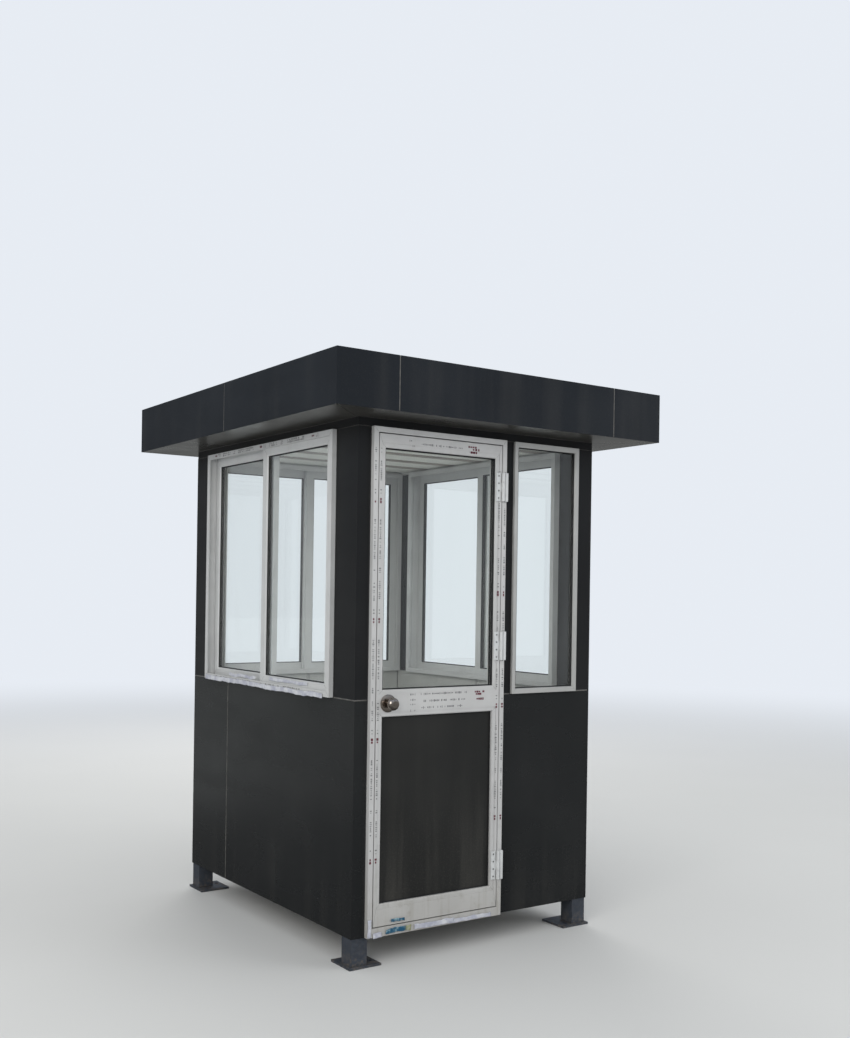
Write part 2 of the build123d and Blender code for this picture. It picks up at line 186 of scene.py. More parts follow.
def glass(board, haze):
    smear = board.noise(3.5, 5, 0.62, stretch=(1, 1, 0.5))
    dust = board.noise(90.0, 2, 0.6)
    height = board.split(board.place())[2]
    low = height.smooth(1.1, 1.7, 1.0, 0.35)
    veil = (smear.smooth(0.45, 0.8) * 0.6 + dust.smooth(0.55, 0.75) * 0.4) * low * haze
    ripple = board.bump(board.noise(2.2, 1, 0.4), 0.0004, 0.4)
    clear = board.surface({"Base Color": (0.955, 0.978, 0.966), "Roughness": 0.0, "IOR": 1.48,
                           "Transmission Weight": 1.0, "Normal": ripple})
    coat = board.surface({"Base Color": (0.62, 0.64, 0.63), "Roughness": 0.55})
    body = board.blend(veil, clear, coat)
    through = board.add("ShaderNodeBsdfTransparent", {"Color": (0.97, 0.98, 0.975)})
    return board.blend(board.add("ShaderNodeLightPath", out="Is Shadow Ray"), body, through)


def steel(board, colour, grain, metal, gloss, mud, shift):
    move = (shift, shift, shift)
    height = board.split(board.place())[2]
    spangle = board.add("ShaderNodeTexVoronoi", {"Vector": board.place(), "Scale": grain}, "Color")
    flake = board.split(spangle)[0]
    cloud = board.noise(14.0, 4, 0.6, shift=move)
    splash = board.noise(60.0, 4, 0.65, shift=move)
    tone = board.mix(flake * 0.45 + cloud * 0.4, colour, tuple(c * 1.5 for c in colour))
    low = height.smooth(0.0, 0.09, 1.0, 0.15)
    dirt = splash.smooth(0.42, 0.7) * low * mud
    painted = board.mix(dirt, tone, mudTone)
    normal = board.bump(cloud + splash * 0.3, 0.0005, 0.4)
    return board.surface({"Base Color": painted, "Roughness": gloss + flake * 0.12 + dirt * 0.4,
                          "Metallic": metal - dirt * metal, "Normal": normal})


even = (1, 1, 1)


def plain(board, colour, gloss, size, depth, vary, stretch=even, metal=0.0, dark=None):
    cloud = board.noise(size, 4, 0.6, stretch=stretch)
    grit = board.noise(size * 12, 2, 0.6, stretch=stretch)
    tone = board.mix(cloud.smooth(0.3, 0.7), colour, dark or tuple(c * (1 - vary) for c in colour))
    return board.surface({"Base Color": tone, "Roughness": gloss + cloud * 0.12 + grit * 0.06,
                          "Metallic": metal, "Normal": board.bump(grit + cloud * 0.5, depth, 0.5)})


def crumpled(board):
    across = board.split(board.place())[0]
    cloud = board.noise(38.0, 4, 0.6)
    crease = board.noise(60.0, 3, 0.6, stretch=(0.4, 1, 1))
    teal = board.mix(cloud.smooth(0.46, 0.66), (0.012, 0.085, 0.16), (0.28, 0.41, 0.45))
    moss = board.mix(cloud.smooth(0.4, 0.7), (0.26, 0.27, 0.13), (0.42, 0.42, 0.36))
    ends = (across + (cloud - 0.5) * 0.03).smooth(-0.425, -0.405)
    return board.surface({"Base Color": board.mix(ends, teal, moss), "Roughness": 0.25 + crease * 0.3,
                          "Normal": board.bump(crease, 0.001, 0.6)})


# colour, dust, the height where splashed dust ends, gloss, specular level and a shift of the pattern
claddingLooks = {
    "fascia": ((0.0108, 0.0130, 0.0165), 0.05, 9.0, 0.34, 0.20, 3),
    "soffit": ((0.0480, 0.0465, 0.0430), 0.05, 0.20, 0.24, 0.28, 9),
    "upperWall": ((0.0100, 0.0104, 0.0112), 0.04, 0.20, 0.34, 0.24, 17),
    "lowerWall": ((0.0130, 0.0140, 0.0146), 0.05, 0.60, 0.20, 0.28, 28),
    "doorPanel": ((0.0160, 0.0162, 0.0155), 0.16, 0.95, 0.36, 0.28, 40),
}
# colour, how much the film is streaked and wrinkled, and a shift of the pattern
whiteLooks = {
    "filmedPvc": ((0.515, 0.513, 0.508), 0.50, 1.0, 0),
    "framePvc": ((0.545, 0.55, 0.548), 0.50, 1.0, 11),
    "slimPvc": ((0.385, 0.385, 0.375), 0.50, 1.0, 19),
    "sashPvc": ((0.56, 0.567, 0.565), 0.35, 0.6, 5),
}
# material name, colour, grain, metal, gloss, mud and a shift of the pattern
steelLooks = {
    "galvanised": ("galvanisedSteel", (0.040, 0.047, 0.060), 70.0, 0.20, 0.45, 0.7, 0),
    "primed": ("primedSteel", (0.070, 0.072, 0.075), 30.0, 0.0, 0.6, 0.6, 4),
}
# material name, colour, gloss, size and depth of the grain, how much the tone varies,
# and where they differ from the usual the stretch of the grain, metal and the darker tone
plainLooks = {
    "stainless": ("stainlessSteel", (0.40, 0.345, 0.30), 0.11, 20.0, 0.0001, 0.2, (1, 1, 9), 1.0),
    "lining": ("liningBoard", (0.46, 0.465, 0.445), 0.40, 5.0, 0.0003, 0.12),
    "ceiling": ("ceilingBoard", (0.80, 0.80, 0.75), 0.5, 4.0, 0.0003, 0.07),
    "vinyl": ("floorVinyl", (0.40, 0.385, 0.35), 0.38, 8.0, 0.0003, 0.25),
    "roofSheet": ("roofSheet", (0.30, 0.31, 0.32), 0.45, 2.5, 0.0006, 0.3),
    "hinge": ("hingeEnamel", (0.60, 0.61, 0.61), 0.24, 40.0, 0.0002, 0.08),
    "silicone": ("greySilicone", (0.135, 0.13, 0.12), 0.34, 30.0, 0.0005, 0.45),
    "looseFilm": ("looseFilm", (0.62, 0.63, 0.66), 0.24, 22.0, 0.0012, 0.3, even, 0.0, (0.38, 0.39, 0.47)),
    # dark sealant that also paints the shadow line at the foot of the header and at the soffit
    "clearSilicone": ("clearSilicone", (0.055, 0.052, 0.048), 0.22, 9.0, 0.0005, 0.6),
    "rubber": ("blackRubber", (0.012, 0.012, 0.013), 0.5, 80.0, 0.0003, 0.3),
    "redInk": ("redFilmInk", (0.13, 0.018, 0.034), 0.4, 90.0, 0.0001, 0.3),
    "greyInk": ("greyFilmInk", (0.17, 0.17, 0.175), 0.4, 90.0, 0.0001, 0.3),
    "weldLine": ("pvcWeldLine", (0.36, 0.36, 0.355), 0.5, 120.0, 0.0002, 0.3),
    "skirting": ("skirtingPvc", (0.36, 0.36, 0.35), 0.4, 20.0, 0.0003, 0.2),
    "trim": ("trimPvc", (0.50, 0.50, 0.48), 0.35, 12.0, 0.0003, 0.1),
    "batten": ("ceilingBatten", (0.30, 0.265, 0.23), 0.45, 6.0, 0.0003, 0.2),
    "lap": ("roofLap", (0.24, 0.245, 0.25), 0.42, 6.0, 0.0004, 0.3),
    "zinc": ("zincScrew", (0.42, 0.42, 0.40), 0.3, 200.0, 0.0001, 0.25, even, 1.0),
    "weld": ("weldBead", (0.12, 0.115, 0.11), 0.45, 150.0, 0.0003, 0.5, even, 0.6),
}
finishes = {key: newMaterial(key + "Cladding", cladding, *look) for key, look in claddingLooks.items()}
finishes.update({key: newMaterial(key, whitePvc, *look) for key, look in whiteLooks.items()})
finishes.update({key: newMaterial(name, steel, *look) for key, (name, *look) in steelLooks.items()})
finishes.update({key: newMaterial(name, plain, *look) for key, (name, *look) in plainLooks.items()})
finishes["glass"] = newMaterial("floatGlass", glass, 0.05)
finishes["scrap"] = newMaterial("colouredScrap", crumpled)
print("finishes made:", len(finishes))

nodeFinishes = {"soffit_panels": "soffit", "door_post": "upperWall", "header": "upperWall",
                "door_panel": "doorPanel", "floor_frame": "primed", "roof_frame": "primed",
                "floor_board": "vinyl", "wall_linings": "lining", "ceiling": "ceiling",
                "roof_deck": "roofSheet", "door_knobs": "stainless", "knob_rosettes": "stainless",
                "front_window_frame": "slimPvc"}
finishByStart = {"fascia_": "fascia", "column_": "upperWall", "leg_": "galvanised", "hinge_": "hinge"}
finishByEnd = {"wall_panels": "lowerWall", "wall_panel": "lowerWall", "_pane": "glass", "_panes": "glass",
               "_sashes": "sashPvc", "_window_frame": "framePvc"}


def finishOf(name):
    found = [nodeFinishes[name]] if name in nodeFinishes else []
    found += [finish for start, finish in finishByStart.items() if name.startswith(start)]
    found += [finish for end, finish in finishByEnd.items() if name.endswith(end)]
    return found[0] if found else "filmedPvc"  # the door's frame and leaf


for name, node in nodes.items():
    node.data.materials.clear()
    node.data.materials.append(finishes[finishOf(name)])


# a place on a wall: along it to the right seen from outside, out from the booth's middle, and up

walls = {
    "front": (Vector((1, 0, 0)), Vector((0, -1, 0))),
    "left": (Vector((0, -1, 0)), Vector((-1, 0, 0))),
    "right": (Vector((0, 1, 0)), Vector((1, 0, 0))),
    "back": (Vector((-1, 0, 0)), Vector((0, 1, 0))),
}


def spot(wall, along, out, height):
    side, outward = walls[wall]
    return side * along + outward * out + Vector((0, 0, height))


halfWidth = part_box("header")[1].x
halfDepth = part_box("header")[1].y
wallFace = {"front": halfDepth, "back": halfDepth, "left": halfWidth, "right": halfWidth}
wallHalf = {"front": halfWidth, "back": halfWidth, "left": halfDepth, "right": halfDepth}
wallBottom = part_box("back_wall_panel")[0].z
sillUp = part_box("door_post")[0].z
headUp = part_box("header")[0].z
soffitUp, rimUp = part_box("fascia_front")[0].z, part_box("fascia_front")[1].z


def linked(name, data):
    thing = bpy.data.objects.new(name, data)
    scene.collection.objects.link(thing)
    return thing


def built(name, work):
    mesh = bpy.data.meshes.new(name)
    work.to_mesh(mesh)
    work.free()
    return linked(name, mesh)


def linesToMesh(name, lines):  # each line is a list of points
    mesh = bpy.data.meshes.new(name)
    points, edges = [], []
    for line in lines:
        first = len(points)
        points += line
        edges += [(first + i, first + i + 1) for i in range(len(line) - 1)]
    mesh.from_pydata(points, edges, [])
    return linked(name, mesh)


def newTree(name, inputs):
    tree = bpy.data.node_groups.new(name, "GeometryNodeTree")
    board = Board(tree)
    tree.interface.new_socket("Geometry", in_out="INPUT", socket_type="NodeSocketGeometry")
    tree.interface.new_socket("Geometry", in_out="OUTPUT", socket_type="NodeSocketGeometry")
    for key, kind in inputs.items():
        tree.interface.new_socket(key, in_out="INPUT", socket_type="NodeSocket" + kind)
    start = board.add("NodeGroupInput")
    return tree, board, lambda key: board.other(start, key)


def close(board, geometry, given):
    single = board.add("GeometryNodeRealizeInstances", {"Geometry": geometry})
    painted = board.add("GeometryNodeSetMaterial", {"Geometry": single, "Material": given("material")})
    board.add("NodeGroupOutput", {"Geometry": painted})


def waves(board, position, given, sockets):  # three noise values for each place and seed
    return board.add("ShaderNodeTexNoise", {"Vector": position, "W": given("seed"), **sockets}, "Color",
                     noise_dimensions="4D")


def grow(thing, tree, values):  # runs the tree on an object and keeps only the mesh it makes
    modifier = thing.modifiers.new(tree.name, "NODES")
    modifier.node_group = tree
    for item in tree.interface.items_tree:
        if item.in_out == "INPUT" and item.name in values:
            modifier[item.identifier] = values[item.name]
    bpy.context.view_layer.update()
    seen = thing.evaluated_get(bpy.context.evaluated_depsgraph_get())
    mesh = bpy.data.meshes.new_from_object(seen)
    name = thing.name
    bpy.data.objects.remove(thing)
    return linked(name, mesh)


def joined(name, things):
    blank = bmesh.new()
    slots = []
    for thing in things:
        faces = thing.data.polygons
        slot = thing.data.materials[faces[0].material_index]
        if slot not in slots:
            slots.append(slot)
        faces.foreach_set("material_index", [slots.index(slot)] * len(faces))
        blank.from_mesh(thing.data)
        bpy.data.objects.remove(thing)
    made = built(name, blank)
    for slot in slots:
        made.data.materials.append(slot)
    return made


def shaded(thing, smooth=True):
    for face in thing.data.polygons:
        face.use_smooth = smooth
    return thing


# beads: sealant, gaskets, weld lines and strips follow lines on a flat face

def makeBeadTree():
    tree, board, given = newTree("beadTree", {
        "halfWidth": "Float", "flat": "Float", "wobble": "Float", "step": "Float",
        "normal": "Vector", "level": "Float", "seed": "Float", "material": "Material"})
    curve = board.add("GeometryNodeMeshToCurve", {"Mesh": given("Geometry")})
    stepped = board.add("GeometryNodeResampleCurve", {"Curve": curve, "Length": given("step")}, mode="LENGTH")
    ring = board.add("GeometryNodeCurvePrimitiveCircle", {"Resolution": 8, "Radius": given("halfWidth")})
    tube = board.add("GeometryNodeCurveToMesh", {"Curve": stepped, "Profile Curve": ring, "Fill Caps": True})
    position = board.add("GeometryNodeInputPosition")
    normal = given("normal")
    above = board.vector("DOT_PRODUCT", position, normal, "Value") - given("level")
    flat = board.scaled(normal, above * (given("flat") - 1.0))
    wave = waves(board, position, given, {"Scale": 14.0, "Detail": 2.0})
    sway = board.scaled(board.vector("SUBTRACT", wave, (0.5, 0.5, 0.5)), given("wobble"))
    offset = board.vector("ADD", flat, sway)
    moved = board.add("GeometryNodeSetPosition", {"Geometry": tube, "Offset": offset})
    close(board, moved, given)
    return tree


# rows: one small shape again and again along lines, each turned, sized or left out by chance

def makeRowTree():
    tree, board, given = newTree("rowTree", {
        "shape": "Object", "spacing": "Float", "normal": "Vector", "spin": "Float",
        "shortest": "Float", "kept": "Float", "seed": "Int", "material": "Material"})
    curve = board.add("GeometryNodeMeshToCurve", {"Mesh": given("Geometry")})
    dots = board.add("GeometryNodeCurveToPoints", {"Curve": curve, "Length": given("spacing")}, mode="LENGTH")
    seed = given("seed")
    chance, second = [board.add("FunctionNodeRandomValue", {"Seed": number}, "Value_001")
                      for number in (seed, seed + 7.0)]
    kept = board.add("FunctionNodeRandomValue", {"Probability": given("kept"), "Seed": seed + 3.0},
                     "Value_003", data_type="BOOLEAN")
    facing = board.add("FunctionNodeAlignRotationToVector", {"Vector": given("normal")}, axis="Z")
    along = board.add("FunctionNodeAlignRotationToVector",
                      {"Rotation": facing, "Vector": board.other(dots, "Tangent")}, axis="X", pivot_axis="Z")
    turn = board.add("FunctionNodeAxisAngleToRotation", {"Axis": (0, 0, 1), "Angle": chance * given("spin")})
    turned = board.add("FunctionNodeRotateRotation", {"Rotation": along, "Rotate By": turn},
                       rotation_space="LOCAL")
    shortest = given("shortest")
    growth = 1.0 - shortest
    size = board.add("ShaderNodeCombineXYZ",
                     {"X": shortest + growth * chance, "Y": shortest + growth * second, "Z": 1.0})
    shape = board.add("GeometryNodeObjectInfo", {"Object": given("shape")}, "Geometry")
    copies = board.add("GeometryNodeInstanceOnPoints", {
        "Points": dots, "Selection": kept, "Instance": shape, "Rotation": turned, "Scale": size})
    close(board, copies, given)
    return tree


# scraps: a thin sheet that lies on a wall and buckles a little

sheetRows, sheetThickness, weldDistance = 9, 0.0004, 0.00002


def makeScrapTree():
    tree, board, given = newTree("scrapTree", {
        "width": "Float", "height": "Float", "columns": "Int", "middle": "Vector", "side": "Vector",
        "out": "Vector", "buckle": "Float", "ragged": "Float", "fine": "Float", "seed": "Float",
        "material": "Material"})
    grid = board.add("GeometryNodeMeshGrid", {
        "Size X": given("width"), "Size Y": given("height"),
        "Vertices X": given("columns"), "Vertices Y": sheetRows})
    position = board.add("GeometryNodeInputPosition")
    x, y = board.split(position)[:2]
    wave = waves(board, position, given, {"Scale": given("fine"), "Detail": 3.0, "Roughness": 0.6})
    pull, drop, lift = board.split(wave)
    ragged = given("ragged")
    parts = [board.scaled(given("side"), x + (pull - 0.5) * ragged),
             board.scaled(given("out"), lift * given("buckle")),
             board.add("ShaderNodeCombineXYZ", {"Z": y + (drop - 0.5) * ragged})]
    place = given("middle")
    for part in parts:
        place = board.vector("ADD", place, part)
    moved = board.add("GeometryNodeSetPosition", {"Geometry": grid, "Position": place})
    raised = board.add("GeometryNodeExtrudeMesh",
                       {"Mesh": moved, "Offset Scale": sheetThickness, "Individual": False}, mode="FACES")
    under = board.add("GeometryNodeFlipFaces", {"Mesh": moved})
    both = board.add("GeometryNodeJoinGeometry")
    for half in (raised, under):
        board.tree.links.new(half.socket, both.socket.node.inputs[0])
    closed = board.add("GeometryNodeMergeByDistance", {"Geometry": both, "Distance": weldDistance})
    close(board, closed, given)
    return tree


beadTree = makeBeadTree()
rowTree = makeRowTree()
scrapTree = makeScrapTree()
up = Vector((0, 0, 1))


def bead(lines, normal, level, look, finish, seed=1.0):
    return shaded(grow(linesToMesh("bead", lines), beadTree, {
        **look, "normal": tuple(normal), "level": level, "seed": seed, "material": finishes[finish]}))


def row(lines, normal, shape, look, finish, seed=1):
    return shaded(grow(linesToMesh("row", lines), rowTree, {
        "kept": 1.0, **look, "shape": shape, "normal": tuple(normal), "seed": seed,
        "material": finishes[finish]}), False)


def onFace(wall, lines, out):
    return [[spot(wall, along, out, height) for along, height in line] for line in lines]


def wallBead(wall, lines, out, look, finish, seed=1.0):
    return bead(onFace(wall, lines, out), walls[wall][1], out, look, finish, seed)


def wallRow(wall, lines, out, shape, look, finish, seed=1):
    return row(onFace(wall, lines, out), walls[wall][1], shape, look, finish, seed)


def ringLines(alongs, ups, inset=0.0):  # four separate sides, so that the corners stay square
    (a, b), (c, d) = alongs, ups
    a, b, c, d = a + inset, b - inset, c + inset, d - inset
    return [[(a, c), (b, c)], [(b, c), (b, d)], [(b, d), (a, d)], [(a, d), (a, c)]]


def mitreLines(alongs, ups, face):  # the welded joint across each corner of a frame
    (a, b), (c, d) = alongs, ups
    return [[(a, c), (a + face, c + face)], [(b, c), (b - face, c + face)],
            [(b, d), (b - face, d - face)], [(a, d), (a + face, d - face)]]


def boxShape(name, boxes):  # small boxes as (x, y, z) ranges in one mesh
    work = bmesh.new()
    for ranges in boxes:
        corners = [work.verts.new((x, y, z)) for z in ranges[2] for y in ranges[1] for x in ranges[0]]
        for face in ((0, 2, 3, 1), (4, 5, 7, 6), (0, 1, 5, 4), (2, 6, 7, 3), (0, 4, 6, 2), (1, 3, 7, 5)):
            work.faces.new([corners[i] for i in face])
    return keepShape(name, work)


def turnedShape(name, profile, sides):  # profile points are (radius, height), closed over the top
    work = bmesh.new()
    turns = [2 * math.pi * i / sides for i in range(sides)]
    rings = [[work.verts.new((r * math.cos(turn), r * math.sin(turn), h)) for turn in turns]
             for r, h in profile]
    for low, high in zip(rings, rings[1:]):
        for i in range(sides):
            work.faces.new([low[i], low[(i + 1) % sides], high[(i + 1) % sides], high[i]])
    work.faces.new(rings[-1])
    work.faces.new(rings[0][::-1])
    return keepShape(name, work)


shapes = []


def keepShape(name, work):
    shapes.append(built(name, work))
    return shapes[-1]


def solidBoxes(name):  # boxes of the separate solids of a node
    work = bmesh.new()
    work.from_mesh(nodes[name].data)
    work.transform(nodes[name].matrix_world)
    bmesh.ops.remove_doubles(work, verts=work.verts, dist=0.00002)
    found, seen = [], set()
    for first in work.verts:
        if first in seen:
            continue
        seen.add(first)
        waiting, points = [first], []
        while waiting:
            corner = waiting.pop()
            points.append(corner.co.copy())
            for edge in corner.link_edges:
                other = edge.other_vert(corner)
                if other not in seen:
                    seen.add(other)
                    waiting.append(other)
        found.append([Vector([pick(p[i] for p in points) for i in range(3)]) for pick in (min, max)])
    work.free()
    return found


def onWall(wall, box):  # a box as along, out and up ranges on one wall
    side, outward = walls[wall]
    low, high = box
    alongs = sorted((low.dot(side), high.dot(side)))
    outs = sorted((low.dot(outward), high.dot(outward)))
    return alongs, outs, [low.z, high.z]


def piece(name, things, body):
    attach(joined(name, things), body)
    print("piece made:", name)


windowNodes = {wall: wall + "_window" for wall in ("left", "right", "back", "front")}
doorAlong, doorOut, doorUp = onWall("front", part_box("door_frame"))
leafAlong, leafOut, leafUp = onWall("front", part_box("door_leaf"))
frameSpans = {wall: onWall(wall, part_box(stem + "_frame")) for wall, stem in windowNodes.items()}

# sealant at the sills and panel joints, and at the headers and soffit a dark sealant bead that paints the
# shadow line there; dark seals round the joinery
sealantLook = {"halfWidth": 0.0032, "flat": 0.30, "wobble": 0.0011, "step": 0.03}
shadowLineLook = {"halfWidth": 0.0018, "flat": 0.35, "wobble": 0.0007, "step": 0.03}
darkSealLook = {"halfWidth": 0.0052, "flat": 0.42, "wobble": 0.0006, "step": 0.05}
seams = {"left": -0.42, "right": 0.42}  # where the two lower sheets of a side wall meet
darkCorners = {"front": (1,), "back": (1, -1)}
cornerInset, seamEnd = 0.004, 0.001
lightBeads, darkBeads = [], []
for number, wall in enumerate(walls):
    face, half = wallFace[wall], wallHalf[wall]
    frameAlong, frameUp = frameSpans[wall][::2]
    stops = [-half, *frameAlong, half]
    if wall == "front":
        stops[1:1] = doorAlong
    lines = [[(a, sillUp), (b, sillUp)] for a, b in zip(stops[::2], stops[1::2])]
    lightBeads.append(wallBead(wall, lines, face, sealantLook, "silicone", 3.0 + number))
    # dark bead at the foot of the header and at the soffit: partly sealant, partly a painted shadow line
    lines = [[(-half, height), (half, height)] for height in (headUp, soffitUp)]
    lightBeads.append(wallBead(wall, lines, face, shadowLineLook, "clearSilicone", 13.0 + number))
    if wall in seams:
        lines = [[(seams[wall], wallBottom + seamEnd), (seams[wall], sillUp)]]
        lightBeads.append(wallBead(wall, lines, face, sealantLook, "silicone", 23.0 + number))
    lines = ringLines(frameAlong, frameUp)
    if wall == "front":
        lines += [[(a, wallBottom), (a, headUp)] for a in doorAlong]
        lines.append([(a, headUp) for a in doorAlong])
    for way in darkCorners.get(wall, ()):
        corner = way * (half - cornerInset)
        lines.append([(corner, wallBottom), (corner, headUp)])
    darkBeads.append(wallBead(wall, lines, face, darkSealLook, "rubber", 8.0 + number))

# the joints of the fascia sheets, down their faces and across the flange on top
fasciaLook = {"halfWidth": 0.0033, "flat": 0.45, "wobble": 0.0005, "step": 0.03,
              "sunk": 0.0016, "rimSunk": 0.002, "flange": (0.039, 0.003)}
fasciaJoints = {"front": (-0.61, 0.61), "back": (-0.61, 0.61), "left": (0.0,), "right": (0.0,)}
for number, (wall, places) in enumerate(fasciaJoints.items()):
    out = onWall(wall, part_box("fascia_" + wall))[1][1]
    lines = [[(a, soffitUp + seamEnd), (a, rimUp - seamEnd)] for a in places]
    lightBeads.append(wallBead(wall, lines, out - fasciaLook["sunk"], fasciaLook, "silicone", 20.0 + number))
    rim = rimUp - fasciaLook["rimSunk"]
    lines = [[spot(wall, a, out - depth, rim) for depth in fasciaLook["flange"]] for a in places]
    lightBeads.append(bead(lines, up, rim, fasciaLook, "silicone", 30.0 + number))
piece("sealant_beads", lightBeads, "booth")
piece("dark_seals", darkBeads, "booth")

# gaskets round every pane, inside and outside
gasketLook = {"halfWidth": 0.0030, "wobble": 0.0003, "step": 0.2, "inset": 0.0012}
gasketDepths = {"sash": (0.0066, 0.0120), "fixed": (0.0110, 0.0060),
                "leaf": (0.0150, 0.0120), "panel": (0.0050, 0.0050)}  # outside and inside
grip = 0.010  # how far a pane reaches behind the edge of its opening


def gaskets(wall, box, kind):
    alongs, outs, ups = onWall(wall, box)
    lines = ringLines(alongs, ups, grip + gasketLook["inset"])
    made = []
    for face, way, depth in zip(outs[::-1], (1, -1), gasketDepths[kind]):
        look = dict(gasketLook, flat=depth / 2 / gasketLook["halfWidth"])
        made.append(wallBead(wall, lines, face + way * depth / 2, look, "rubber"))
    return made


fixedGaskets = []
for wall, stem in windowNodes.items():
    name = stem + ("_pane" if wall == "front" else "_panes")
    for box in solidBoxes(name):
        fixedGaskets += gaskets(wall, box, "fixed" if wall == "front" else "sash")
piece("pane_gaskets", fixedGaskets, "booth")
leafGaskets = gaskets("front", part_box("door_pane"), "leaf")
leafGaskets += gaskets("front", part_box("door_panel"), "panel")
piece("door_gaskets", leafGaskets, "door")

# welded corners of the PVC profiles
weldLook = {"halfWidth": 0.0008, "flat": 0.45, "wobble": 0.0002, "step": 0.02}
faceWidths = {"fixed": 0.018, "track": 0.026, "sash": 0.040, "door": 0.024, "glazing": 0.017}


def weldLine(wall, lines, out):
    return wallBead(wall, lines, out, weldLook, "weldLine")


weldLines = []
for wall, stem in windowNodes.items():
    alongs, outs, ups = frameSpans[wall]
    face = faceWidths["fixed" if wall == "front" else "track"]
    weldLines.append(weldLine(wall, mitreLines(alongs, ups, face), outs[1]))
    sashes = [] if wall == "front" else solidBoxes(stem + "_sashes")
    for box in sashes:
        alongs, outs, ups = onWall(wall, box)
        weldLines.append(weldLine(wall, mitreLines(alongs, ups, faceWidths["sash"]), outs[1]))
face = faceWidths["door"]
lines = [[(a, doorUp[1]), (a + way * face, doorUp[1] - face)] for a, way in zip(doorAlong, (1, -1))]
weldLines.append(weldLine("front", lines, doorOut[1]))
piece("corner_welds", weldLines, "booth")
# on the leaf the glazing beads stand in a step round the pane and the panel
stile, beadRim, stepDepth = 0.034, 0.020, 0.003
inBeads = [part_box(name) for name in ("door_pane", "door_panel")]
paneUp, panelUp = [(low.z + grip, high.z - grip) for low, high in inBeads]
beadAlong = (leafAlong[0] + stile - beadRim, leafAlong[1] - stile + beadRim)
lines = []
for ups in (paneUp, panelUp):
    lines += mitreLines(beadAlong, (ups[0] - beadRim, ups[1] + beadRim), faceWidths["glazing"])
leafWelds = [weldLine("front", lines, leafOut[1] - stepDepth)]
lines = [[(a, edge), (a + way * (stile - beadRim), inner)]
         for edge, inner in ((leafUp[1], paneUp[1] + beadRim), (leafUp[0], panelUp[0] - beadRim))
         for a, way in zip(leafAlong, (1, -1))]
leafWelds.append(weldLine("front", lines, leafOut[1]))
piece("door_corner_welds", leafWelds, "door")

# printed dashes on the protective film: grey runs between red blocks
dash = boxShape("dash", [((-0.0031, 0.0031), (-0.0052, 0.0052), (0.0, 0.0002))])
block = boxShape("block", [((-0.0060, 0.0060), (-0.0056, 0.0056), (0.0, 0.0002))])
dashLook = {"spacing": 0.0078, "spin": 0.0, "shortest": 0.35, "kept": 0.8}
blockLook = {"spacing": 0.0105, "spin": 0.0, "shortest": 0.55, "kept": 0.9}
# a red block and then the grey runs, again and again at one pitch
printLook = {"pitch": 0.519, "least": 0.06, "red": 0.0125,
             "grey": ((0.038, 0.052), (0.095, 0.175), (0.215, 0.232), (0.275, 0.44))}
railPrint = {"start": 0.10, "end": 0.05, "edge": 0.012, "offsets": (-0.005, 0.005)}


def filmPrint(start, end, offsets):  # from one end of a profile to the other
    grey, red, place = [], [], start
    while place + printLook["least"] < end:
        red.append((place, place + printLook["red"], 0.0))
        grey += [(place + low, place + high, offset) for low, high in printLook["grey"]
                 for offset in offsets if place + high < end]
        place += printLook["pitch"]
    return grey, red


def upright(runs, middle):
    return [[(middle + offset, low), (middle + offset, high)] for low, high, offset in runs]


def level(runs, middle):
    return [[(low, middle + offset), (high, middle + offset)] for low, high, offset in runs]


def printed(wall, grey, red, out, seed):
    return [wallRow(wall, grey, out, dash, dashLook, "greyInk", seed),
            wallRow(wall, red, out, block, blockLook, "redInk", seed + 1)]


def stilePrints(stiles, end):
    grey, red = [], []
    for middle, start in stiles:
        runs = filmPrint(start, end, (0.0,))
        grey += upright(runs[0], middle)
        red += upright(runs[1], middle)
    return grey, red


stiles = ((doorAlong[0] + 0.010, doorUp[0] + 0.325), (doorAlong[1] - 0.009, doorUp[0] + 0.45))
boothPrints = printed("front", *stilePrints(stiles, doorUp[1] - 0.03), doorOut[1], 5)
for wall in ("left", "right", "back"):
    alongs, outs, ups = frameSpans[wall]
    grey, red = [], []
    for middle in (ups[0] + railPrint["edge"], ups[1] - railPrint["edge"]):
        runs = filmPrint(alongs[0] + railPrint["start"], alongs[1] - railPrint["end"], railPrint["offsets"])
        grey += level(runs[0], middle)
        red += level(runs[1], middle)
    boothPrints += printed(wall, grey, red, outs[1], 9)
piece("film_prints", boothPrints, "booth")

stiles = ((leafAlong[0] + 0.009, leafUp[0] + 0.28), (leafAlong[1] - 0.013, leafUp[0] + 0.405))
grey, red = stilePrints(stiles, leafUp[1] - 0.05)
railUp = (panelUp[1] + paneUp[0]) / 2
grey += level([(-0.345, -0.095, 0.034), (-0.345, -0.105, 0.003), (-0.34, -0.12, -0.026)], railUp)
grey += level([(-0.40, -0.378, offset) for offset in (0.034, 0.010, -0.010, -0.037)], railUp)
red += level([(-0.044, 0.002, 0.034), (-0.038, -0.004, 0.0235), (-0.033, 0.0, 0.001)], railUp)
topRail = (paneUp[1] + leafUp[1]) / 2
grey += level([(-0.425, -0.40, 0.010), (-0.36, -0.14, 0.0), (-0.425, -0.40, -0.012)], topRail)
red += level([(-0.100, -0.062, 0.010), (-0.075, -0.045, -0.001), (-0.085, -0.045, -0.014)], topRail)
piece("door_film_prints", printed("front", grey, red, leafOut[1], 15), "door")

# crumpled coloured scraps at the foot of the door, and protective film that has come loose
sheetGap, columnWidth, fewestColumns = 0.0003, 0.006, 6


